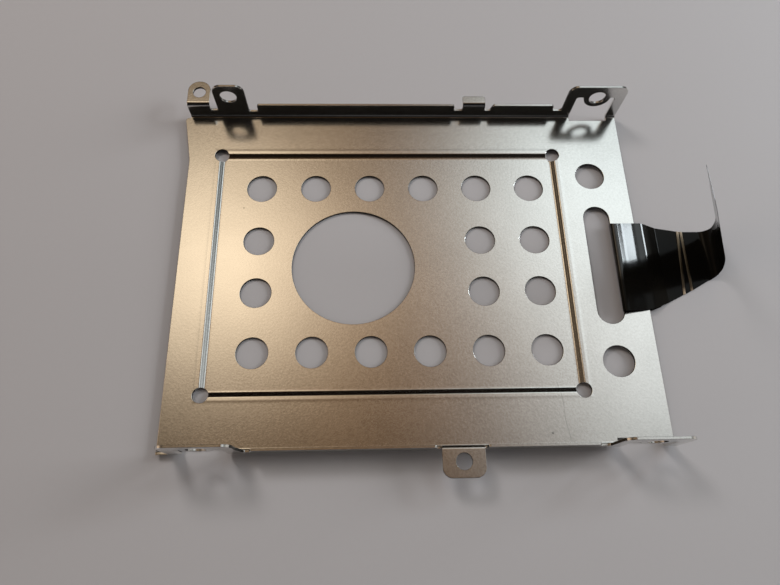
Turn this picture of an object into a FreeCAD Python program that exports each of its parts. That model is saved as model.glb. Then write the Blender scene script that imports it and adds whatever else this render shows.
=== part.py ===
import FreeCAD, Part
import math
import os

from FreeCAD import Vector

# Millimetres. X runs along the drive towards the pull tab, Y across it, Z up.
# X 0 is midway between the drive screws, Y 0 midway between the side walls,
# Z 0 the underside of the lowered panel, on which the tray rests.

# The drive that the tray carries
driveWidth = 69.85      # standard width
screwSpan = 76.6        # between the two side screws, standard
screwRise = 6.15        # screw axis above the seat
screwHole = 3.4         # clearance for an M3 screw
sideGap = 0.1           # play on each side of the drive

# Sheet
sheet = 0.5             # thickness
bendRadius = 0.5        # inside radius where the walls turn up
tabBend = 0.3           # inside radius where the tabs turn out
leftOver = 8.45         # plate ends beyond the screw axes
rightOver = 5.85
cornerFlare = 1.75      # the rear left corner spreads past the plate end
flareLength = 10.525    # along the end, up to the wall bend
flareRound = 0.6

# Lowered panel
drop = 0.5              # depth of the step
stepBand = 2.0          # width of the step
panelLeftOver = 1.85    # middle of the step beyond the left screw axes
panelRightBack = 9.0    # and short of the right ones
panelHalf = 25.2
reliefHole = 2.8        # at the four corners of the step

# Lightening holes in the panel
pitch = 11.0
gridHole = 6.0
gridColumns = 6
gridMargin = 8.65       # first column from the middle of the step
outerRow = 17.4
innerRow = 5.5
innerColumns = (0, 4, 5)  # the wide hole takes the place of the others
wideHole = 24.0
wideShift = 1.7         # from the first column, in pitches

# End strip beyond the panel
stripBack = 7.6         # holes and slot stand on one line, this far from the plate end
stripHole = 6.0
stripHoleY = 19.9
slotWidth = 5.3
slotLength = 25.2

# Side walls, heights from Z 0
earTop = 10.3
wallTop = 4.5
notchFloor = 2.9
deepFloor = 2.5
earCorner = 1.8
edgeCorner = 0.4        # small corners of the walls
notchCorner = 0.2       # corners at the foot of the notches
softCorner = 0.3
footCorner = 0.6        # foot of a window ear

# Window ears: a frame with a round lobe hanging in it for the screw
earWidth = 12.25
legWidth = 2.1
lobeRadius = 2.75
windowRise = 0.05       # window top above the screw axis
windowReach = 1.1       # how far the window runs into the plate
windowCorner = 0.5
footGap = 2.0           # low stretch of wall beside a window ear
footSlant = 0.8         # foot of the front left ear spreads by this much
footHeight = 3.0        # and starts to spread this far above the low stretch
footSweep = 2.0         # radius where it does

# Solid ear on the rear wall
solidWidth = 6.4
solidShift = 0.25       # ear middle from the screw axis, towards +X
solidGap = 1.9          # notch beside it

# Tabs turned out at the top of the walls
tabTop = 4.8
cornerTabIn = 4.0       # rear corner tab, from the plate end inwards
cornerTabOver = 0.65    # and outwards
cornerTabReach = 5.95   # from the wall inner face
cornerTabRound = 2.3
cornerTabHole = 2.6
cornerTabHoleIn = 1.75
cornerTabHoleReach = 3.15
plainTabLeft = 10.4
plainTabWidth = 4.8
plainTabReach = 2.3
plainTabRound = 0.5
plainGap = 1.75         # notches beside it
plainSlope = 0.525      # the inner notch opens with a slope this long
frontTabMiddle = 5.95
frontTabWidth = 7.4
frontTabReach = 5.5
frontTabRound = 1.7
frontTabHole = 2.8
frontTabHoleReach = 2.8
frontGap = 0.7          # notches beside it

# Pull tab of film, looped through the slot and closed on itself
film = 0.05             # one layer
loopGap = 0.05          # film to the slot edge inside the loop
filmRear = 8.75         # edges of the strip on the plate
filmFront = -10.0
leave = 1.4             # crease just outside the plate end, all of these from the plate end
lowLeave = 0.2          # and the lower layer's
join = 2.6              # the two layers are one from here
lay = 6.85              # the strip reaches the table
crease = 8.15           # pair of creases across the strip
foldReach = 13.1        # the end turns up from here
taper = 0.7             # the front edge runs in from here
frontBreak = 8.05       # and bends slightly here
rearTaper = 9.35        # the rear edge is straight again from here
joinSag = 0.1           # where the layers meet, below the middle of the plate
leaveBend = 0.8         # radius where the strip leaves the plate
layBend = 6.0           # where it comes down to the table
creaseWidth = 2.0
creaseHeight = 0.28
creaseSlope = 0.56      # each side of the pair
creaseBend = 0.35       # inside radius of the ridges
creaseFoot = 0.4        # inside radius at their feet
edgeEase = 20.0         # the edges of the strip bend gently
foldRadius = 2.0
curlStart = 9.0         # degrees that the end leans back where the tight turn stops
curlRadius = 12.0       # it curls on gently from there
lean = 31.8             # and is straight from this lean on
endHeight = 25.6
endRound = 1.2
gripRear = 7.2          # narrow end of the strip
gripFront = -3.65       # where it starts to turn up
turnFront = -2.4        # front edge at the turn
turnHeight = 1.6
neckFront = -1.0        # and of the upright end
neckHeight = 8.0        # from this height up
neckEase = 6.0
frontBreakY = -6.5      # where its front edge bends

# Derived sizes
seat = drop + sheet                     # top of the outer plate
innerHalf = driveWidth / 2 + sideGap    # wall inner faces
outerHalf = innerHalf + sheet
flatHalf = innerHalf - bendRadius       # the flat plate ends here
screwX = screwSpan / 2
screwZ = seat + screwRise
plateLeft = -screwX - leftOver
plateRight = screwX + rightOver
panelLeft = -screwX - panelLeftOver
panelRight = screwX - panelRightBack
gridFirst = panelLeft + gridMargin
wideX = gridFirst + wideShift * pitch
stripX = plateRight - stripBack
half = stepBand / 2
stepAngle = 2 * math.atan(drop / stepBand)
stepRadius = half / math.sin(stepAngle)
slotRight = stripX + slotWidth / 2
windowTop = screwZ + windowRise
tabStart = tabTop - sheet - tabBend
hair = 0.001            # keeps two edges from falling on one point
beyond = 1.0            # cutters run past the sheet by this much
high = earTop + beyond
low = -beyond


def shift(point, way, far):
    return (point[0] + way[0] * far, point[1] + way[1] * far)


# A closed wire through 2-D corners (u, v, radius), put in space by place

def rounded(corners, place):
    edges = []
    cuts = []
    count = len(corners)
    for i in range(count):
        before = corners[i - 1]
        here = corners[i]
        after = corners[(i + 1) % count]
        radius = here[2]
        if radius <= 0:
            cuts.append((here[:2], None, here[:2]))
            continue
        inLong = math.hypot(before[0] - here[0], before[1] - here[1])
        outLong = math.hypot(after[0] - here[0], after[1] - here[1])
        ax = (before[0] - here[0]) / inLong
        ay = (before[1] - here[1]) / inLong
        bx = (after[0] - here[0]) / outLong
        by = (after[1] - here[1]) / outLong
        turn = math.acos(max(-1.0, min(1.0, ax * bx + ay * by)))
        back = radius / math.tan(turn / 2)
        start = (here[0] + ax * back, here[1] + ay * back)
        stop = (here[0] + bx * back, here[1] + by * back)
        mx = ax + bx
        my = ay + by
        size = math.hypot(mx, my)
        reach = radius / math.sin(turn / 2) - radius
        middle = (here[0] + mx / size * reach, here[1] + my / size * reach)
        cuts.append((start, middle, stop))
    for i in range(count):
        start, middle, stop = cuts[i]
        if middle is not None:
            arc = Part.Arc(place(*start), place(*middle), place(*stop))
            edges.append(arc.toShape())
        follow = cuts[(i + 1) % count][0]
        if math.hypot(follow[0] - stop[0], follow[1] - stop[1]) > 1e-7:
            edges.append(Part.makeLine(place(*stop), place(*follow)))
    return Part.Wire(edges)


def block(x0, x1, y0, y1, z0, z1):
    return Part.makeBox(x1 - x0, y1 - y0, z1 - z0, Vector(x0, y0, z0))


def drill(diameter, x, y, z0, z1):
    return Part.makeCylinder(diameter / 2, z1 - z0, Vector(x, y, z0))


def planPrism(corners, z0, z1):
    wire = rounded(corners, lambda u, v: Vector(u, v, z0))
    return Part.Face(wire).extrude(Vector(0, 0, z1 - z0))


def wallPrism(corners, y0, y1):
    wire = rounded(corners, lambda u, v: Vector(u, y0, v))
    return Part.Face(wire).extrude(Vector(0, y1 - y0, 0))


def arc2(place, centre, radius, a0, a1):
    points = []
    for a in (a0, (a0 + a1) / 2, a1):
        points.append(place(centre[0] + radius * math.cos(a), centre[1] + radius * math.sin(a)))
    return Part.Arc(*points).toShape()


def line2(place, a, b):
    return Part.makeLine(place(*a), place(*b))


# Step between the plate and the panel: two equal arcs, drawn across the band

def stepFace(place):
    inner = (-half, sheet / 2 + stepRadius)
    outer = (half, drop + sheet / 2 - stepRadius)
    small = stepRadius - sheet / 2
    large = stepRadius + sheet / 2
    down = -math.pi / 2
    up = math.pi / 2
    edges = [
        arc2(place, inner, small, down, down + stepAngle),
        arc2(place, outer, large, up + stepAngle, up),
        line2(place, (half, seat), (half, drop)),
        arc2(place, outer, small, up, up + stepAngle),
        arc2(place, inner, large, down + stepAngle, down),
        line2(place, (-half, 0), (-half, sheet)),
    ]
    return Part.Face(Part.Wire(edges))


def stepSide(place, run, corners):
    return stepFace(place).extrude(run).common(planPrism(corners, low, high))


reach = 2 * half
panelWide = panelRight - panelLeft + 2 * reach
panelDeep = 2 * panelHalf + 2 * reach
westOut = panelLeft - reach
westIn = panelLeft + reach
eastOut = panelRight + reach
eastIn = panelRight - reach
sideOut = panelHalf + reach
sideIn = panelHalf - reach

steps = []
for way in (1, -1):
    steps.append(stepSide(
        lambda u, v: Vector(westOut, way * (panelHalf + u), v),
        Vector(panelWide, 0, 0),
        [(westOut, way * sideOut, 0), (eastOut, way * sideOut, 0),
         (eastIn, way * sideIn, 0), (westIn, way * sideIn, 0)]))
for way, middle, out, inn in ((1, panelRight, eastOut, eastIn), (-1, panelLeft, westOut, westIn)):
    steps.append(stepSide(
        lambda u, v: Vector(middle + way * u, -sideOut, v),
        Vector(0, panelDeep, 0),
        [(out, -sideOut, 0), (out, sideOut, 0), (inn, sideIn, 0), (inn, -sideIn, 0)]))

panel = block(panelLeft + half, panelRight - half, -panelHalf + half, panelHalf - half, 0, sheet)
plate = planPrism([
    (plateLeft, -flatHalf, 0), (plateRight, -flatHalf, 0), (plateRight, flatHalf, 0),
    (plateLeft - cornerFlare, flatHalf, flareRound), (plateLeft, flatHalf - flareLength, 0)], drop, seat)
plate = plate.cut(block(panelLeft - half, panelRight + half, -panelHalf - half, panelHalf + half, low, high))


# Side walls: the bend profile runs the whole length and takes its outline from a flat pattern

def bendProfile(way):
    place = lambda u, v: Vector(plateLeft - 2 * beyond, way * u, v)
    middle = (flatHalf, seat + bendRadius)
    quarter = math.pi / 2
    edges = [
        arc2(place, middle, bendRadius + sheet, -quarter, 0),
        line2(place, (outerHalf, seat + bendRadius), (outerHalf, earTop)),
        line2(place, (outerHalf, earTop), (innerHalf, earTop)),
        line2(place, (innerHalf, earTop), (innerHalf, seat + bendRadius)),
        arc2(place, middle, bendRadius, 0, -quarter),
        line2(place, (flatHalf, seat), (flatHalf, drop)),
    ]
    return Part.Face(Part.Wire(edges))


def wall(way, pattern):
    run = Vector(plateRight - plateLeft + 4 * beyond, 0, 0)
    y0 = way * (flatHalf - beyond)
    y1 = way * (outerHalf + beyond)
    return bendProfile(way).extrude(run).common(wallPrism(pattern, y0, y1))


rightEar = plateRight - earWidth
leftEar = -screwX - earWidth / 2
leftEarEnd = leftEar + earWidth
solidLeft = -screwX + solidShift - solidWidth / 2
solidRight = solidLeft + solidWidth
plainTabRight = plainTabLeft + plainTabWidth
frontTabLeft = frontTabMiddle - frontTabWidth / 2
frontTabRight = frontTabMiddle + frontTabWidth / 2
cornerTabLeft = plateLeft - cornerTabOver
cornerTabRight = plateLeft + cornerTabIn
endFloor = seat + bendRadius / 2         # low end of the front wall

rearPattern = [
    (cornerTabLeft, low, 0),
    (cornerTabLeft, tabStart, 0),
    (cornerTabRight, tabStart, 0),
    (cornerTabRight, notchFloor, notchCorner),
    (solidLeft, notchFloor, notchCorner),
    (solidLeft, earTop, earCorner),
    (solidRight, earTop, earCorner),
    (solidRight, deepFloor, softCorner),
    (solidRight + solidGap, deepFloor, softCorner),
    (solidRight + solidGap, wallTop, edgeCorner),
    (plainTabLeft - plainGap, wallTop, edgeCorner),
    (plainTabLeft - plainGap, notchFloor, notchCorner),
    (plainTabLeft, notchFloor, notchCorner),
    (plainTabLeft, tabStart, 0),
    (plainTabRight, tabStart, 0),
    (plainTabRight, notchFloor, notchCorner),
    (plainTabRight + plainGap - plainSlope, notchFloor, softCorner),
    (plainTabRight + plainGap, wallTop, edgeCorner),
    (rightEar - footGap, wallTop, edgeCorner),
    (rightEar - footGap, notchFloor, softCorner),
    (rightEar, notchFloor, footCorner),
    (rightEar, earTop, earCorner),
    (plateRight, earTop, earCorner),
    (plateRight, low, 0),
]

frontPattern = [
    (plateLeft, low, 0),
    (plateLeft, endFloor, 0),
    (leftEar, endFloor, softCorner),
    (leftEar, earTop, earCorner),
    (leftEarEnd, earTop, earCorner),
    (leftEarEnd, notchFloor + footHeight, footSweep),
    (leftEarEnd + footSlant, notchFloor, edgeCorner),
    (leftEarEnd + footGap, notchFloor, softCorner),
    (leftEarEnd + footGap, wallTop, edgeCorner),
    (frontTabLeft - frontGap, wallTop, edgeCorner),
    (frontTabLeft - frontGap, notchFloor, notchCorner),
    (frontTabLeft, notchFloor, notchCorner),
    (frontTabLeft, tabStart, 0),
    (frontTabRight, tabStart, 0),
    (frontTabRight, notchFloor, notchCorner),
    (frontTabRight + frontGap, notchFloor, notchCorner),
    (frontTabRight + frontGap, wallTop, edgeCorner),
    (rightEar - footGap, wallTop, edgeCorner),
    (rightEar - footGap, notchFloor, softCorner),
    (rightEar, notchFloor, footCorner),
    (rightEar, earTop, earCorner),
    (plateRight, earTop, earCorner),
    (plateRight, low, 0),
]

rearWall = wall(1, rearPattern)
frontWall = wall(-1, frontPattern)


# A window is cut through the bend into the plate and leaves the lobe for the screw

def window(way, left, screw):
    y0 = way * (innerHalf - windowReach)
    y1 = way * (outerHalf + beyond)
    a = left + legWidth
    b = left + earWidth - legWidth
    opening = wallPrism([(a, low, 0), (b, low, 0), (b, windowTop, windowCorner),
                         (a, windowTop, windowCorner)], y0, y1)
    long = abs(y1 - y0) + 2 * beyond
    start = Vector(screw, y0 - way * beyond, screwZ)
    lobe = Part.makeCylinder(lobeRadius, long, start, Vector(0, way, 0))
    return opening.cut(lobe)


def screwBore(way, screw):
    start = Vector(screw, way * (innerHalf - beyond), screwZ)
    return Part.makeCylinder(screwHole / 2, sheet + 2 * beyond, start, Vector(0, way, 0))


# Tabs turned out at the wall top

def tab(way, left, right, reachOut, corner):
    place = lambda u, v: Vector(left, way * u, v)
    middle = (outerHalf + tabBend, tabStart)
    end = innerHalf + reachOut
    quarter = math.pi / 2
    edges = [
        line2(place, (innerHalf, seat + bendRadius), (innerHalf, tabStart)),
        arc2(place, middle, tabBend + sheet, 2 * quarter, quarter),
        line2(place, (middle[0], tabTop), (end, tabTop)),
        line2(place, (end, tabTop), (end, tabTop - sheet)),
        line2(place, (end, tabTop - sheet), (middle[0], tabTop - sheet)),
        arc2(place, middle, tabBend, quarter, 2 * quarter),
        line2(place, (outerHalf, tabStart), (outerHalf, seat + bendRadius)),
        line2(place, (outerHalf, seat + bendRadius), (innerHalf, seat + bendRadius)),
    ]
    solid = Part.Face(Part.Wire(edges)).extrude(Vector(right - left, 0, 0))
    shape = [(left, way * (innerHalf - beyond), 0), (right, way * (innerHalf - beyond), 0),
             (right, way * end, corner), (left, way * end, corner)]
    return solid.common(planPrism(shape, low, high))


cornerTab = tab(1, cornerTabLeft, cornerTabRight, cornerTabReach, cornerTabRound)
plainTab = tab(1, plainTabLeft, plainTabRight, plainTabReach, plainTabRound)
frontTab = tab(-1, frontTabLeft, frontTabRight, frontTabReach, frontTabRound)

tray = plate.fuse(steps + [panel, rearWall, frontWall, cornerTab, plainTab, frontTab])

# Holes
cutters = []
for row in (outerRow, -outerRow):
    for column in range(gridColumns):
        cutters.append(drill(gridHole, gridFirst + column * pitch, row, low, high))
for row in (innerRow, -innerRow):
    for column in innerColumns:
        cutters.append(drill(gridHole, gridFirst + column * pitch, row, low, high))
cutters.append(drill(wideHole, wideX, 0, low, high))
for x in (panelLeft, panelRight):
    for y in (panelHalf, -panelHalf):
        cutters.append(drill(reliefHole, x, y, low, high))
for y in (stripHoleY, -stripHoleY):
    cutters.append(drill(stripHole, stripX, y, low, high))
slotEnd = slotLength / 2
slotRound = slotWidth / 2 - hair
cutters.append(planPrism([
    (stripX - slotWidth / 2, -slotEnd, slotRound), (slotRight, -slotEnd, slotRound),
    (slotRight, slotEnd, slotRound), (stripX - slotWidth / 2, slotEnd, slotRound)], low, high))
cutters.append(window(1, rightEar, screwX))
cutters.append(window(-1, rightEar, screwX))
cutters.append(window(-1, leftEar, -screwX))
for way in (1, -1):
    for x in (screwX, -screwX):
        cutters.append(screwBore(way, x))
cornerTabHoleX = plateLeft + cornerTabHoleIn
cutters.append(drill(cornerTabHole, cornerTabHoleX, innerHalf + cornerTabHoleReach, tabStart, high))
cutters.append(drill(frontTabHole, frontTabMiddle, -innerHalf - frontTabHoleReach, tabStart, high))
tray = tray.cut(cutters).removeSplitter()

# Film strip. Its section is drawn in X and Z and runs across in Y.

section = lambda u, v: Vector(u, 0, v)
under = drop - film                       # lower face of the lower layer
over = seat + film                        # upper face of the upper layer
loopInner = slotRight - loopGap           # inside face of the loop in the slot
loopOuter = loopInner - film
loopBend = loopGap * 0.8                  # stays clear of the slot edge
tail = 2 * film
leaveX = plateRight + leave
lowLeaveX = plateRight + lowLeave
joinX = plateRight + join
layX = plateRight + lay
foldX = plateRight + foldReach
creaseX = plateRight + crease
creaseEnd = creaseX + creaseWidth
ridgeA = creaseX + creaseSlope
ridgeB = creaseEnd - creaseSlope
ridgeTop = creaseHeight + tail
creaseOut = creaseBend + tail
footOut = creaseFoot + tail
joinLow = (drop + seat) / 2 - film - joinSag  # underside of the closed strip where it begins
joinHigh = joinLow + tail
curlAngle = math.radians(curlStart)
leanAngle = math.radians(lean)
rise = (-math.sin(leanAngle), math.cos(leanAngle))
right = (rise[1], -rise[0])               # across the leaning end
foldMiddle = (foldX, film + foldRadius)
curlMiddle = shift(foldMiddle, (math.cos(curlAngle), math.sin(curlAngle)), foldRadius - curlRadius)
curlStop = shift(curlMiddle, right, curlRadius)
riseLong = (endHeight - curlStop[1]) / rise[1] + beyond
gripTop = shift(curlStop, rise, riseLong)

# outside and inside of the loop, and the strip as far as the fold
outside = [
    (loopOuter, under, loopBend + film),
    (lowLeaveX, under, leaveBend),
    (joinX, joinLow, layBend),
    (layX, 0, layBend),
    (creaseX, 0, footOut),
    (ridgeA, creaseHeight, creaseBend),
    (ridgeB, creaseHeight, creaseBend),
    (creaseEnd, 0, footOut),
    (foldX, 0, 0),
    (foldX, tail, 0),
    (creaseEnd, tail, creaseFoot),
    (ridgeB, ridgeTop, creaseOut),
    (ridgeA, ridgeTop, creaseOut),
    (creaseX, tail, creaseFoot),
    (layX, tail, layBend + tail),
    (joinX, joinHigh, layBend - tail),
    (leaveX, over, leaveBend + film),
    (loopOuter, over, loopBend + film),
]
inside = [
    (loopInner, drop, loopBend),
    (lowLeaveX, drop, leaveBend),
    (joinX, joinLow + film, 0),
    (leaveX, seat, leaveBend),
    (loopInner, seat, loopBend),
]
strip = Part.Face(rounded(outside, section)).extrude(Vector(0, filmRear - filmFront, 0))
hollow = Part.Face(rounded(inside, section)).extrude(Vector(0, filmRear - filmFront, 0))
strip = strip.cut(hollow)
strip.translate(Vector(0, filmFront, 0))
trim = planPrism([
    (loopOuter - beyond, filmFront - beyond, 0),
    (plateRight + taper, filmFront - beyond, 0),
    (plateRight + taper, filmFront, 0),
    (plateRight + frontBreak, frontBreakY, edgeEase),
    (foldX, gripFront, 0),
    (foldX, gripRear, 0),
    (plateRight + rearTaper, gripRear, edgeEase),
    (leaveX, filmRear, edgeEase),
    (loopOuter - beyond, filmRear + hair, 0),
], low, high)
strip = strip.common(trim)

# the end turns up, curls back and is straight to its tip
down = -math.pi / 2
edges = [
    arc2(section, foldMiddle, foldRadius + film, down, curlAngle),
    arc2(section, curlMiddle, curlRadius + film, curlAngle, leanAngle),
    line2(section, shift(curlStop, right, film), shift(gripTop, right, film)),
    line2(section, shift(gripTop, right, film), shift(gripTop, right, -film)),
    line2(section, shift(gripTop, right, -film), shift(curlStop, right, -film)),
    arc2(section, curlMiddle, curlRadius - film, leanAngle, curlAngle),
    arc2(section, foldMiddle, foldRadius - film, curlAngle, down),
    line2(section, (foldX, tail), (foldX, 0)),
]
grip = Part.Face(Part.Wire(edges)).extrude(Vector(0, gripRear - gripFront, 0))
grip.translate(Vector(0, gripFront, 0))
sideView = rounded([
    (gripFront, low, 0), (gripRear, low, 0),
    (gripRear, endHeight, endRound), (neckFront, endHeight, endRound),
    (neckFront, neckHeight, neckEase), (turnFront, turnHeight, endRound), (gripFront, 0, 0),
], lambda u, v: Vector(plateLeft, u, v))
grip = grip.common(Part.Face(sideView).extrude(Vector(foldX + curlRadius - plateLeft, 0, 0)))
pull = strip.fuse([grip]).removeSplitter()

os.makedirs("parts", exist_ok=True)
for name, shape in (("drive_tray", tray), ("pull_tab", pull)):
    solids = shape.Solids
    print(name, "solids", len(solids), "valid", shape.isValid(), "volume", round(shape.Volume, 2))
    solids[0].exportStep("parts/" + name + ".step")
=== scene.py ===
import math

import bmesh
import bpy
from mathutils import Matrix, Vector


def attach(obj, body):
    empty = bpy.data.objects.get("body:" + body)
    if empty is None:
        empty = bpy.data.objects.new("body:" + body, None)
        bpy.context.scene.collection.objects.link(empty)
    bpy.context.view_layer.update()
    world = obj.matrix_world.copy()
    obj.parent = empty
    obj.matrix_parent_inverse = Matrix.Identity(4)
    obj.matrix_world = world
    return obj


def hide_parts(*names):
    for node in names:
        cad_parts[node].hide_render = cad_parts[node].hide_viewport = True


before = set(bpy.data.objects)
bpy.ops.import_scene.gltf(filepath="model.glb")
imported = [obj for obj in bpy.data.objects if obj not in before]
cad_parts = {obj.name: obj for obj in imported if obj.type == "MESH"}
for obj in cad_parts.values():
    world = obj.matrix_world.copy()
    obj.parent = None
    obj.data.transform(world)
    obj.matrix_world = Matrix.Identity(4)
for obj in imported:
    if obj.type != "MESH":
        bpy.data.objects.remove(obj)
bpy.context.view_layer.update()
print("frame loaded:", sorted(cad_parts))

scene = bpy.context.scene
scene.view_settings.view_transform = "Standard"

millimetre = 0.001
flatWeight = 100  # a large flat face keeps its own normal beside a bend


# small helpers for node trees

def addNode(tree, kind, **values):
    node = tree.nodes.new(kind)
    for key, value in values.items():
        setattr(node, key, value)
    return node


def join(tree, source, target):
    tree.links.new(source, target)


def doMath(tree, kind, a, b=None, clamp=False):
    node = addNode(tree, "ShaderNodeMath", operation=kind, use_clamp=clamp)
    for socket, value in zip(node.inputs, (a, b)):
        if value is None:
            continue
        if isinstance(value, (int, float)):
            socket.default_value = value
        else:
            join(tree, value, socket)
    return node.outputs[0]


def squared(tree, value):
    return doMath(tree, "MULTIPLY", value, value)


def held(tree, value, low, high):
    return doMath(tree, "MINIMUM", doMath(tree, "MAXIMUM", value, low), high)


def fade(tree, value, start, stop):
    node = addNode(tree, "ShaderNodeMapRange", interpolation_type="SMOOTHSTEP")
    join(tree, value, node.inputs["Value"])
    node.inputs["From Min"].default_value = start
    node.inputs["From Max"].default_value = stop
    return node.outputs["Result"]


def ramp(tree, source, stops):
    node = addNode(tree, "ShaderNodeValToRGB")
    marks = node.color_ramp.elements
    while len(marks) < len(stops):
        marks.new(0.5)
    for mark, (place, colour) in zip(marks, stops):
        mark.position = place
        mark.color = (*colour, 1.0)
    join(tree, source, node.inputs["Fac"])
    return node.outputs["Color"]


def mixColours(tree, share, first, second):
    node = addNode(tree, "ShaderNodeMix", data_type="RGBA")
    join(tree, share, node.inputs["Factor"])
    join(tree, first, node.inputs["A"])
    if isinstance(second, tuple):
        node.inputs["B"].default_value = (*second, 1.0)
    else:
        join(tree, second, node.inputs["B"])
    return node.outputs["Result"]


def splitSpot(tree, spot):
    split = addNode(tree, "ShaderNodeSeparateXYZ")
    join(tree, spot, split.inputs["Vector"])
    return split.outputs["X"], split.outputs["Y"]


def newMaterial(name):
    material = bpy.data.materials.new(name)
    material.use_nodes = True
    tree = material.node_tree
    tree.nodes.clear()
    shader = addNode(tree, "ShaderNodeBsdfPrincipled")
    output = addNode(tree, "ShaderNodeOutputMaterial")
    join(tree, shader.outputs["BSDF"], output.inputs["Surface"])
    coords = addNode(tree, "ShaderNodeTexCoord")
    return material, tree, shader, coords.outputs["Object"]


# and for pieces

def addPiece(name, bm, material, node):
    mesh = bpy.data.meshes.new(name)
    bm.to_mesh(mesh)
    bm.free()
    mesh.materials.append(material)
    piece = bpy.data.objects.new(name, mesh)
    scene.collection.objects.link(piece)
    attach(piece, "root")
    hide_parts(node)
    return piece


def keepFlat(piece):
    even = piece.modifiers.new("flatFacesStayFlat", "WEIGHTED_NORMAL")
    even.mode = "FACE_AREA"
    even.weight = flatWeight
    even.keep_sharp = True


# fine grain, shared by the metal, the film and the floor

grainLook = {
    "detail": 3.0,
    "roughness": 0.6,
    "middle": 0.5,  # the noise lies about this value, the grain about zero
}


def makeGrainGroup():
    group = bpy.data.node_groups.new("fineGrain", "ShaderNodeTree")
    face = group.interface
    face.new_socket("Vector", in_out="INPUT", socket_type="NodeSocketVector")
    face.new_socket("Scale", in_out="INPUT", socket_type="NodeSocketFloat")
    face.new_socket("Depth", in_out="INPUT", socket_type="NodeSocketFloat")
    face.new_socket("Grain", in_out="OUTPUT", socket_type="NodeSocketFloat")
    start = addNode(group, "NodeGroupInput")
    stop = addNode(group, "NodeGroupOutput")
    noise = addNode(group, "ShaderNodeTexNoise")
    noise.inputs["Detail"].default_value = grainLook["detail"]
    noise.inputs["Roughness"].default_value = grainLook["roughness"]
    join(group, start.outputs["Vector"], noise.inputs["Vector"])
    join(group, start.outputs["Scale"], noise.inputs["Scale"])
    centred = doMath(group, "SUBTRACT", noise.outputs["Fac"], grainLook["middle"])
    scaled = doMath(group, "MULTIPLY", centred, start.outputs["Depth"])
    join(group, scaled, stop.inputs["Grain"])
    return group


grainGroup = makeGrainGroup()


def grain(tree, vector, scale, depth):
    node = addNode(tree, "ShaderNodeGroup", node_tree=grainGroup)
    join(tree, vector, node.inputs["Vector"])
    node.inputs["Scale"].default_value = scale
    node.inputs["Depth"].default_value = depth
    return node.outputs["Grain"]


def grainTone(tree, value, stops):
    return ramp(tree, doMath(tree, "ADD", value, grainLook["middle"], clamp=True), stops)


# tray: satin plated sheet steel

tray = {
    "weld": 1e-6,
    "mergeAngle": 0.05,  # faces that meet flatter than this become one
    "cutAngle": 50.0,  # edges sharper than this are cut edges
    "smoothAngle": 20.0,
    "cutEdge": 0.00006,  # cut edges are slightly rounded
    "cutSteps": 2,
    "sheet": 0.00055,  # faces narrower than this are cut walls: rougher, and darkened with painted shade
    "upward": 0.5,  # those that face up keep the plate's colour, without the painted shade
    # the cut walls' colour is painted shade, much darker than bare cut steel; their extra roughness is their
    # own
    "cutWallShadeColour": (0.07, 0.065, 0.06),
    "shearedRoughness": 0.45,
    "colour": (0.79, 0.775, 0.75),
    "darker": (0.67, 0.655, 0.63),
    "darkerAt": 0.2,
    "colourAt": 0.8,
    "roughness": 0.2,
    "roughnessSpread": 0.08,
    "grainScale": 2600.0,
    "grainShare": 1.4,
    "cloudScale": 70.0,
    "cloudShare": 0.8,
    "bump": 0.02,
    "bumpDepth": 0.0005,
    # marks in the plating, in metres: dark specks, and a faint scratch that runs to the front edge
    "markColour": (0.0, 0.0, 0.0),
    "specks": [(-0.0349, 0.01295, 0.00022), (0.02258, -0.03286, 0.00028)],
    "speckCore": 0.3,
    "speckDark": 0.55,
    "scratch": {"x": 0.02512, "y": -0.0288, "reach": 0.0056, "full": 0.9, "drift": -0.085,
                "sway": 0.00012, "turns": 900.0, "half": 0.00016, "dark": 0.16},
    "step": {
        # round the panel, in millimetres, as the solid has it: two arcs
        "middle": -5.425,
        "halfLong": 34.725,
        "halfWide": 25.2,
        "half": 1.0,
        "drop": 0.5,
        "sheet": 0.5,
        # as it is pressed: a straight slope between tighter bends
        "shift": -0.12,
        "slope": 28.8,
        "reachUp": 0.62,
        "reachDown": 0.65,
        "reachRear": 0.86,  # the lower bend is wider along the rear
        "rearFrom": 23.7,
        # a faint lip beside it on the plate
        "lip": 0.013,
        "lipAt": 0.95,
        "lipWidth": 0.35,
    },
}


def speckMarks(tree, x, y):
    flat = addNode(tree, "ShaderNodeCombineXYZ")
    join(tree, x, flat.inputs["X"])
    join(tree, y, flat.inputs["Y"])
    total = 0.0
    for speckX, speckY, radius in tray["specks"]:
        away = addNode(tree, "ShaderNodeVectorMath", operation="DISTANCE")
        join(tree, flat.outputs["Vector"], away.inputs[0])
        away.inputs[1].default_value = (speckX, speckY, 0.0)
        core = fade(tree, away.outputs["Value"], radius, tray["speckCore"] * radius)
        total = doMath(tree, "ADD", total, doMath(tree, "MULTIPLY", core, tray["speckDark"]))
    return total


def scratchMark(tree, x, y):
    line = tray["scratch"]
    along = doMath(tree, "SUBTRACT", y, line["y"])
    path = doMath(tree, "ADD", doMath(tree, "MULTIPLY", along, line["drift"]), line["x"])
    wave = doMath(tree, "SINE", doMath(tree, "MULTIPLY", along, line["turns"]))
    path = doMath(tree, "ADD", path, doMath(tree, "MULTIPLY", wave, line["sway"]))
    aside = doMath(tree, "ABSOLUTE", doMath(tree, "SUBTRACT", x, path))
    inside = fade(tree, doMath(tree, "ABSOLUTE", along), line["reach"], line["full"] * line["reach"])
    thin = doMath(tree, "MULTIPLY", fade(tree, aside, line["half"], 0.0), inside)
    return doMath(tree, "MULTIPLY", thin, line["dark"])


def addMarks(tree, spot, colour):
    x, y = splitSpot(tree, spot)
    total = doMath(tree, "ADD", speckMarks(tree, x, y), scratchMark(tree, x, y), clamp=True)
    return mixColours(tree, total, colour, tray["markColour"])


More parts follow.
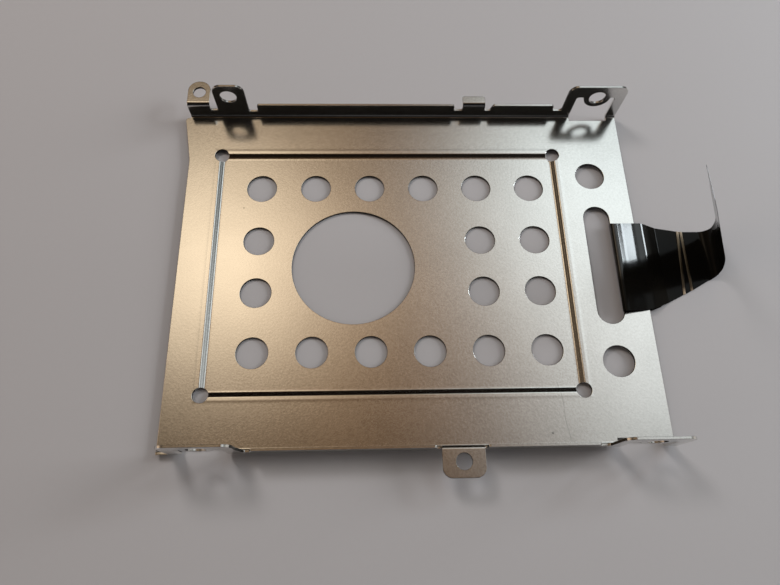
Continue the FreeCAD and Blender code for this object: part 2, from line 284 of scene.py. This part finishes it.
def arcHeight(tree, run, radius, turn):
    inReach = held(tree, run, 0.0, radius * math.sin(turn))
    level = doMath(tree, "SQRT", doMath(tree, "SUBTRACT", radius * radius, squared(tree, inReach)))
    return doMath(tree, "SUBTRACT", radius, level)


# upper face of the solid's step: an arc that turns down, then one that turns level
def solidStep(tree, out):
    step = tray["step"]
    turn = 2.0 * math.atan(step["drop"] / (2.0 * step["half"]))
    middle = step["half"] / math.sin(turn)
    outer = middle + step["sheet"] / 2.0
    inner = middle - step["sheet"] / 2.0
    down = arcHeight(tree, doMath(tree, "SUBTRACT", step["half"], out), outer, turn)
    level = arcHeight(tree, doMath(tree, "ADD", step["half"], out), inner, turn)
    centring = (outer - inner) * (1.0 - math.cos(turn)) / 2.0
    return doMath(tree, "ADD", doMath(tree, "SUBTRACT", level, down), centring)


# half of the pressed step, from its middle: straight, then a bend
def bendHeight(tree, run, reach):
    step = tray["step"]
    steep = math.tan(math.radians(step["slope"]))
    straight = step["drop"] / steep - reach
    onSlope = doMath(tree, "MULTIPLY", held(tree, run, 0.0, straight), steep)
    left = doMath(tree, "DIVIDE", doMath(tree, "SUBTRACT", reach, run), reach - straight)
    inBend = doMath(tree, "SUBTRACT", 1.0, squared(tree, held(tree, left, 0.0, 1.0)))
    inBend = doMath(tree, "MULTIPLY", inBend, step["drop"] / 2.0 - straight * steep)
    return doMath(tree, "ADD", onSlope, inBend)


def pressedStep(tree, out, y):
    step = tray["step"]
    upper = bendHeight(tree, doMath(tree, "SUBTRACT", out, step["shift"]), step["reachUp"])
    back = doMath(tree, "SUBTRACT", step["shift"], out)
    lower = bendHeight(tree, back, step["reachDown"])
    wider = doMath(tree, "SUBTRACT", bendHeight(tree, back, step["reachRear"]), lower)
    atRear = doMath(tree, "GREATER_THAN", y, step["rearFrom"])
    lower = doMath(tree, "ADD", lower, doMath(tree, "MULTIPLY", wider, atRear))
    fromLip = doMath(tree, "DIVIDE", doMath(tree, "SUBTRACT", out, step["lipAt"]), step["lipWidth"])
    lip = doMath(tree, "EXPONENT", doMath(tree, "MULTIPLY", squared(tree, fromLip), -1.0))
    pressed = doMath(tree, "SUBTRACT", upper, lower)
    return doMath(tree, "ADD", pressed, doMath(tree, "MULTIPLY", lip, step["lip"]))


# what the pressed step adds to the solid's one, in millimetres
def sharperStep(tree, spot):
    step = tray["step"]
    scaled = addNode(tree, "ShaderNodeVectorMath", operation="SCALE")
    join(tree, spot, scaled.inputs[0])
    scaled.inputs["Scale"].default_value = 1.0 / millimetre
    x, y = splitSpot(tree, scaled.outputs["Vector"])
    ends = doMath(tree, "ABSOLUTE", doMath(tree, "SUBTRACT", x, step["middle"]))
    sides = doMath(tree, "ABSOLUTE", y)
    out = doMath(tree, "MAXIMUM", doMath(tree, "SUBTRACT", ends, step["halfLong"]),
                 doMath(tree, "SUBTRACT", sides, step["halfWide"]))
    return doMath(tree, "SUBTRACT", pressedStep(tree, out, y), solidStep(tree, out))


def makeTrayMetal():
    material, tree, shader, spot = newMaterial("satinPlatedSteel")
    cloud = grain(tree, spot, tray["cloudScale"], 1.0)
    fine = grain(tree, spot, tray["grainScale"], 1.0)
    mixed = doMath(tree, "ADD", doMath(tree, "MULTIPLY", cloud, tray["cloudShare"]),
                   doMath(tree, "MULTIPLY", fine, tray["grainShare"]))
    satin = grainTone(tree, mixed, [(tray["darkerAt"], tray["darker"]), (tray["colourAt"], tray["colour"])])
    # cut walls: painted shade in the colour, and rougher too
    shadedCutWall = addNode(tree, "ShaderNodeAttribute", attribute_name="shadedCutWall").outputs["Fac"]
    colour = mixColours(tree, shadedCutWall, addMarks(tree, spot, satin), tray["cutWallShadeColour"])
    join(tree, colour, shader.inputs["Base Color"])
    rough = doMath(tree, "ADD", doMath(tree, "MULTIPLY", fine, tray["roughnessSpread"]), tray["roughness"])
    extra = doMath(tree, "MULTIPLY", shadedCutWall, tray["shearedRoughness"] - tray["roughness"])
    join(tree, doMath(tree, "ADD", rough, extra), shader.inputs["Roughness"])
    shader.inputs["Metallic"].default_value = 1.0
    press = addNode(tree, "ShaderNodeBump")
    press.inputs["Distance"].default_value = millimetre
    join(tree, sharperStep(tree, spot), press.inputs["Height"])
    bump = addNode(tree, "ShaderNodeBump")
    bump.inputs["Strength"].default_value = tray["bump"]
    bump.inputs["Distance"].default_value = tray["bumpDepth"]
    join(tree, fine, bump.inputs["Height"])
    join(tree, press.outputs["Normal"], bump.inputs["Normal"])
    join(tree, bump.outputs["Normal"], shader.inputs["Normal"])
    return material


def makeTray():
    bm = bmesh.new()
    bm.from_mesh(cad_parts["drive_tray"].data)
    bmesh.ops.remove_doubles(bm, verts=bm.verts, dist=tray["weld"])
    bmesh.ops.dissolve_limit(bm, angle_limit=math.radians(tray["mergeAngle"]), verts=bm.verts, edges=bm.edges)
    bm.normal_update()
    cuts = [edge for edge in bm.edges if edge.calc_face_angle(0.0) > math.radians(tray["cutAngle"])]
    # cut walls, marked for their painted shade and their roughness
    shadedCutWall = bm.faces.layers.float.new("shadedCutWall")
    known = set(cuts)
    for face in bm.faces:
        lengths = [edge.calc_length() for edge in face.edges if edge in known]
        narrow = len(lengths) > 1 and face.calc_area() < max(lengths) * tray["sheet"]
        if narrow and abs(face.normal.z) < tray["upward"]:
            face[shadedCutWall] = 1.0
    bmesh.ops.bevel(bm, geom=cuts, affect="EDGES", offset=tray["cutEdge"], segments=tray["cutSteps"],
                    profile=0.5, material=-1)
    for face in bm.faces:
        face.smooth = True
    piece = addPiece("traySheet", bm, makeTrayMetal(), "drive_tray")
    piece.data.set_sharp_from_angle(angle=math.radians(tray["smoothAngle"]))
    keepFlat(piece)


makeTray()
print("tray made")


# pull tab: glossy black film

pullTab = {
    "colour": (0.004, 0.004, 0.004),
    "sheen": (0.009, 0.008, 0.006),
    "colourAt": 0.3,
    "sheenAt": 0.8,
    "waveScale": 90.0,
    "roughness": 0.12,
    "roughnessScale": 1500.0,
    "roughnessSpread": 0.04,
    "refraction": 1.6,
    # bright on the loop, duller where the end has been handled: from dull to bright, in metres
    "loopGloss": 0.5,
    "endGloss": 0.06,
    "glossAlong": (0.0472, 0.0458),
    "glossAcross": (-0.0045, -0.0015),
    # painted highlight on the hard-bent creases, brightest at the film's edges: tones from the front edge to
    # the rear one
    "creaseFront": -0.0064,
    "creaseRear": 0.00725,
    "creaseHighlightTones": [(0.0, (0.60, 0.50, 0.38)), (0.03, (0.50, 0.40, 0.29)), (0.11, (0.085, 0.065, 0.045)),
                    (0.40, (0.055, 0.047, 0.030)), (0.68, (0.115, 0.098, 0.070)),
                    (0.90, (0.25, 0.215, 0.16)), (1.0, (0.55, 0.48, 0.38))],
    # the shape is in millimetres; the creases lie between these lengths and heights, and there take the
    # painted highlight
    "creaseFrom": 51.5,
    "creaseTo": 54.5,
    "creaseLow": 0.11,
    "creaseHigh": 0.4,
    "thick": 0.06,
    # the strip, line by line across it:
    # rear X, front X, rear Z, front Z, rear Y, front Y, rounding
    "lines": [
        (46.65, 46.65, 0.63, 0.66, 8.40, -9.20, 0.0),
        (44.35, 44.35, 0.475, 0.475, 8.75, -10.00, 0.3),
        (39.125, 39.125, 0.475, 0.475, 8.75, -10.00, 0.03),
        (38.94, 38.62, 1.45, 1.72, 8.53, -10.20, 0.25),
        (39.26, 38.94, 1.78, 2.05, 8.36, -10.32, 0.20),
        (40.03, 39.68, 1.84, 2.15, 8.33, -10.34, 0.25),
        (41.29, 40.93, 1.485, 1.80, 8.51, -10.21, 0.35),
        (43.77, 43.49, 1.09, 1.25, 8.72, -10.00, 0.5),
        (45.50, 45.22, 1.03, 1.18, 8.75, -9.63, 0.35),
        (48.60, 48.50, 0.06, 0.12, 8.10, -8.20, 0.08),
        (52.90, 51.70, 0.05, 0.05, 7.33, -6.60, 0.08),
        (53.20, 52.00, 0.19, 0.19, 7.28, -6.45, 0.08),
        (53.52, 52.32, 0.05, 0.05, 7.25, -6.35, 0.08),
        (53.60, 53.40, 0.05, 0.05, 7.25, -5.78, 0.05),
        (53.90, 53.70, 0.19, 0.19, 7.22, -5.62, 0.08),
        (54.20, 54.00, 0.05, 0.05, 7.20, -5.48, 0.08),
        (57.25, 57.25, 0.05, 0.05, 7.20, -3.65, 0.0),
    ],
    "roundAngle": 5.0,  # one step of a rounding turns about this far
    "roundSteps": 4,  # and it has at least so many
    "smoothAngle": 6.5,
    # faces of the loop's upper layer, which tell which way is up
    "topAt": 42.5,
    "topHalf": 2.0,
    "topAbove": 0.9,
    # the upturned end: two arcs and a straight run, and its front edge from height to height
    "foldRadius": 2.0,
    "foldSteps": 20,
    "curlStart": 9.0,
    "curlRadius": 12.0,
    "curlSteps": 6,
    "lean": 31.8,
    "straightShares": (0.25, 0.6, 1.0),
    "top": 25.55,
    "frontEdge": [(0.0, -3.65), (0.3, -3.2), (1.6, -2.4), (5.0, -1.65), (8.0, -1.1), (10.0, -1.0),
                  (30.0, -1.0)],
    "tipRound": 1.2,
    "tipSteps": 6,
}


def makeFilm():
    material, tree, shader, spot = newMaterial("glossyBlackFilm")
    x, y = splitSpot(tree, spot)
    cloud = grain(tree, spot, pullTab["waveScale"], 1.0)
    black = grainTone(tree, cloud, [(pullTab["colourAt"], pullTab["colour"]),
                                    (pullTab["sheenAt"], pullTab["sheen"])])
    # painted highlight along the creases, from the front edge to the rear one
    along = doMath(tree, "SUBTRACT", y, pullTab["creaseFront"])
    along = doMath(tree, "DIVIDE", along, pullTab["creaseRear"] - pullTab["creaseFront"])
    creaseHighlight = addNode(tree, "ShaderNodeAttribute", attribute_name="creaseHighlight").outputs["Fac"]
    colour = mixColours(tree, creaseHighlight, black, ramp(tree, along, pullTab["creaseHighlightTones"]))
    join(tree, colour, shader.inputs["Base Color"])
    fine = grain(tree, spot, pullTab["roughnessScale"], pullTab["roughnessSpread"])
    join(tree, doMath(tree, "ADD", fine, pullTab["roughness"]), shader.inputs["Roughness"])
    onLoop = doMath(tree, "MULTIPLY", fade(tree, x, *pullTab["glossAlong"]),
                    fade(tree, y, *pullTab["glossAcross"]))
    gloss = doMath(tree, "MULTIPLY", onLoop, pullTab["loopGloss"] - pullTab["endGloss"])
    join(tree, doMath(tree, "ADD", gloss, pullTab["endGloss"]), shader.inputs["Specular IOR Level"])
    shader.inputs["IOR"].default_value = pullTab["refraction"]
    return material


def inMillimetres(x, y, z):
    return Vector((x, y, z)) * millimetre


def nextLine(bm, edge, rear, front):
    made = bmesh.ops.extrude_edge_only(bm, edges=[edge])["geom"]
    ends = [item for item in made if isinstance(item, bmesh.types.BMVert)]
    line = [item for item in made if isinstance(item, bmesh.types.BMEdge)
            and item.verts[0] in ends and item.verts[1] in ends][0]
    ends.sort(key=lambda vert: -vert.co.y)
    ends[0].co = rear
    ends[1].co = front
    return line


def endProfile():
    points = []
    x, z = pullTab["lines"][-1][0], pullTab["lines"][-1][2]
    heading = 0.0
    upright = 90.0
    stops = ((upright + pullTab["curlStart"], pullTab["foldRadius"], pullTab["foldSteps"]),
             (upright + pullTab["lean"], pullTab["curlRadius"], pullTab["curlSteps"]))
    for stop, radius, steps in stops:
        turn = math.radians(stop - heading) / steps
        chord = 2.0 * radius * math.sin(turn / 2.0)
        for step in range(steps):
            way = math.radians(heading) + turn * (step + 0.5)
            x += chord * math.cos(way)
            z += chord * math.sin(way)
            points.append((x, z))
        heading = stop
    slope = math.radians(pullTab["lean"])
    rest = pullTab["top"] - z
    for share in pullTab["straightShares"]:
        points.append((x - rest * share * math.tan(slope), z + rest * share))
    return points


def frontEdgeAt(height):
    marks = pullTab["frontEdge"]
    for (lowZ, lowY), (highZ, highY) in zip(marks, marks[1:]):
        if height <= highZ:
            return lowY + (highY - lowY) * (height - lowZ) / (highZ - lowZ)
    return marks[-1][1]


def roundBends(bm, bends):
    for line, rounding in bends:
        bend = math.degrees(line.calc_face_angle(0.0))
        steps = max(pullTab["roundSteps"], math.ceil(bend / pullTab["roundAngle"]))
        bmesh.ops.bevel(bm, geom=[line], affect="EDGES", offset=rounding * millimetre, segments=steps,
                        profile=0.5, material=-1)


def turnUp(bm):
    for face in bm.faces:
        spot = face.calc_center_median() / millimetre
        if abs(spot.x - pullTab["topAt"]) < pullTab["topHalf"] and spot.z > pullTab["topAbove"]:
            if face.normal.z < 0:
                bmesh.ops.reverse_faces(bm, faces=bm.faces)
            return


# faces on the creases, which take the painted highlight
def markCreaseHighlights(bm):
    creaseHighlight = bm.faces.layers.float.new("creaseHighlight")
    for face in bm.faces:
        spot = face.calc_center_median() / millimetre
        inReach = pullTab["creaseFrom"] < spot.x < pullTab["creaseTo"]
        if inReach and pullTab["creaseLow"] < spot.z < pullTab["creaseHigh"]:
            face[creaseHighlight] = 1.0


def makePullTab():
    bm = bmesh.new()
    lines = pullTab["lines"]
    first = lines[0]
    rearEnd = bm.verts.new(inMillimetres(first[0], first[4], first[2]))
    frontEnd = bm.verts.new(inMillimetres(first[1], first[5], first[3]))
    edge = bm.edges.new((rearEnd, frontEnd))
    bends = []
    for rearX, frontX, rearZ, frontZ, rearY, frontY, rounding in lines[1:]:
        edge = nextLine(bm, edge, inMillimetres(rearX, rearY, rearZ), inMillimetres(frontX, frontY, frontZ))
        if rounding:
            bends.append((edge, rounding))
    rearY = lines[-1][4]
    for x, z in endProfile():
        edge = nextLine(bm, edge, inMillimetres(x, rearY, z), inMillimetres(x, frontEdgeAt(z), z))
    bmesh.ops.bevel(bm, geom=list(edge.verts), affect="VERTICES", offset=pullTab["tipRound"] * millimetre,
                    segments=pullTab["tipSteps"], profile=0.5, material=-1)
    bm.normal_update()
    roundBends(bm, bends)
    bm.normal_update()
    turnUp(bm)
    markCreaseHighlights(bm)
    for face in bm.faces:
        face.smooth = True
    piece = addPiece("pullTabFilm", bm, makeFilm(), "pull_tab")
    piece.data.set_sharp_from_angle(angle=math.radians(pullTab["smoothAngle"]))
    wall = piece.modifiers.new("filmThickness", "SOLIDIFY")
    wall.thickness = pullTab["thick"] * millimetre
    wall.offset = 0.0
    keepFlat(piece)


makePullTab()
print("pull tab made")


# floor

floorLook = {
    "size": 3.0,
    "below": 0.00002,  # clear of the panel's underside
    "colour": (0.55, 0.545, 0.565),
    "deepShare": 0.97,
    "deepAt": 0.3,
    "colourAt": 0.7,
    "grainScale": 900.0,
    "grainDepth": 0.3,
    "roughness": 0.6,
    "specular": 0.2,
    # painted light: the floor glows, dimmer and warmer on the left, brighter and cooler on the right
    "leftPaintedLight": (0.016, 0.010, 0.009),
    "rightPaintedLight": (0.034, 0.040, 0.048),
    "reach": 0.12,  # half the width over which the left painted light goes over into the right one
    "shadeReach": 0.003,  # how near the part the painted light fades, a painted shade
    "shadeSamples": 8,
}


def makeFloorLook():
    material, tree, shader, spot = newMaterial("paleFloor")
    fine = grain(tree, spot, floorLook["grainScale"], floorLook["grainDepth"])
    pale = floorLook["colour"]
    deep = tuple(value * floorLook["deepShare"] for value in pale)
    colour = grainTone(tree, fine, [(floorLook["deepAt"], deep), (floorLook["colourAt"], pale)])
    join(tree, colour, shader.inputs["Base Color"])
    shader.inputs["Roughness"].default_value = floorLook["roughness"]
    shader.inputs["Specular IOR Level"].default_value = floorLook["specular"]
    # painted light: seen straight or in a mirror the floor is paler, and throws no more light; the glow fades
    # by the part as painted shade
    x = splitSpot(tree, spot)[0]
    across = doMath(tree, "DIVIDE", doMath(tree, "ADD", x, floorLook["reach"]), 2.0 * floorLook["reach"])
    paintedLightTone = ramp(tree, across, [(0.0, floorLook["leftPaintedLight"]), (1.0, floorLook["rightPaintedLight"])])
    path = addNode(tree, "ShaderNodeLightPath")
    seen = doMath(tree, "ADD", path.outputs["Is Camera Ray"], path.outputs["Is Glossy Ray"])
    seen = doMath(tree, "ADD", seen, path.outputs["Is Transmission Ray"], clamp=True)
    # painted shade: the glow is dimmed in the hollows by the part
    openness = addNode(tree, "ShaderNodeAmbientOcclusion", samples=floorLook["shadeSamples"])
    openness.inputs["Distance"].default_value = floorLook["shadeReach"]
    seen = doMath(tree, "MULTIPLY", seen, squared(tree, openness.outputs["AO"]))
    join(tree, paintedLightTone, shader.inputs["Emission Color"])
    join(tree, seen, shader.inputs["Emission Strength"])
    return material


def makeFloor():
    bpy.ops.mesh.primitive_plane_add(size=floorLook["size"], location=(0.0, 0.0, -floorLook["below"]))
    floor = bpy.context.object
    floor.name = "floor"
    floor.data.materials.append(makeFloorLook())


makeFloor()
print("floor laid")


# soft light: a warm window behind on the left, cool ones behind on the right, low glows beside and before

glow = [
    {"turn": 121.0, "height": 62.0, "sharp": 70.0, "colour": (1.74, 1.455, 1.065)},
    {"turn": 85.0, "height": 68.0, "sharp": 14.0, "colour": (0.225, 0.115, 0.045)},
    {"turn": 56.0, "height": 53.0, "sharp": 61.0, "colour": (1.15, 1.33, 1.385)},
    {"turn": 27.0, "height": 58.5, "sharp": 42.0, "colour": (0.97, 1.05, 1.07)},
    {"turn": 185.0, "height": 15.0, "sharp": 12.0, "colour": (1.0, 0.72, 0.48)},
    {"turn": -5.0, "height": 15.0, "sharp": 12.0, "colour": (0.8, 0.78, 0.72)},
    {"turn": 205.0, "height": 10.0, "sharp": 20.0, "colour": (0.5, 0.6, 0.7)},
    {"turn": -85.0, "height": 14.0, "sharp": 25.0, "colour": (0.07, 0.07, 0.075)},
]


def aim(turn, height):
    a = math.radians(turn)
    b = math.radians(height)
    return Vector((math.cos(a) * math.cos(b), math.sin(a) * math.cos(b), math.sin(b)))


def addGlow(tree, way, lobe):
    dot = addNode(tree, "ShaderNodeVectorMath", operation="DOT_PRODUCT")
    join(tree, way, dot.inputs[0])
    dot.inputs[1].default_value = aim(lobe["turn"], lobe["height"])
    near = doMath(tree, "MULTIPLY", doMath(tree, "SUBTRACT", dot.outputs["Value"], 1.0), lobe["sharp"])
    tint = addNode(tree, "ShaderNodeVectorMath", operation="SCALE")
    tint.inputs[0].default_value = lobe["colour"]
    join(tree, doMath(tree, "EXPONENT", near), tint.inputs["Scale"])
    return tint.outputs["Vector"]


def makeWorld():
    world = bpy.data.worlds.new("softRoom")
    scene.world = world
    world.use_nodes = True
    tree = world.node_tree
    tree.nodes.clear()
    output = addNode(tree, "ShaderNodeOutputWorld")
    back = addNode(tree, "ShaderNodeBackground")
    join(tree, back.outputs["Background"], output.inputs["Surface"])
    way = addNode(tree, "ShaderNodeTexCoord").outputs["Generated"]
    total = addGlow(tree, way, glow[0])
    for lobe in glow[1:]:
        both = addNode(tree, "ShaderNodeVectorMath", operation="ADD")
        join(tree, addGlow(tree, way, lobe), both.inputs[0])
        join(tree, total, both.inputs[1])
        total = both.outputs["Vector"]
    join(tree, total, back.inputs["Color"])


# lamps for the floor and the shadows; only the near one is mirrored, as a bright band in the film

lamps = {
    "side": {"place": (0.647, 0.138, 0.228), "target": (0.0, 0.0, 0.0), "wide": 0.30, "tall": 0.30,
             "power": 2.8, "colour": (1.0, 0.99, 0.985), "mirrored": False},
    "rear": {"place": (-0.165, 0.215, 0.295), "target": (0.0, 0.0, 0.0), "wide": 0.10, "tall": 0.10,
             "power": 0.34, "colour": (1.0, 0.935, 0.90), "mirrored": False},
    "near": {"place": (0.196, 0.094, 0.130), "target": (0.0425, 0.0, 0.0015), "wide": 0.034, "tall": 0.034,
             "power": 0.055, "colour": (0.86, 0.95, 1.0), "mirrored": True},
}


def makeLamp(name):
    lamp = lamps[name]
    light = bpy.data.lights.new(name + "Lamp", "AREA")
    light.shape = "RECTANGLE"
    light.size = lamp["wide"]
    light.size_y = lamp["tall"]
    light.energy = lamp["power"]
    light.color = lamp["colour"]
    holder = bpy.data.objects.new(name + "Lamp", light)
    holder.location = lamp["place"]
    holder.rotation_euler = (Vector(lamp["target"]) - holder.location).to_track_quat("-Z", "Y").to_euler()
    holder.visible_glossy = lamp["mirrored"]
    scene.collection.objects.link(holder)


makeWorld()
for name in lamps:
    makeLamp(name)
print("light set")


# camera at the photo's angle

view = {
    "place": (-0.009901, -0.048551, 0.110483),
    "turn": (21.338, -1.6837, -1.1953),
    "focal": 613.2,  # in pixels, as is the width
    "width": 780,
    "sensor": 36.0,
    "clip": 0.001,
}


def makeCamera():
    camera = bpy.data.cameras.new("view")
    camera.sensor_fit = "HORIZONTAL"
    camera.sensor_width = view["sensor"]
    camera.lens = view["focal"] * view["sensor"] / view["width"]
    camera.clip_start = view["clip"]
    holder = bpy.data.objects.new("view", camera)
    holder.location = view["place"]
    holder.rotation_euler = [math.radians(value) for value in view["turn"]]
    scene.collection.objects.link(holder)
    scene.camera = holder


makeCamera()
print("camera set")
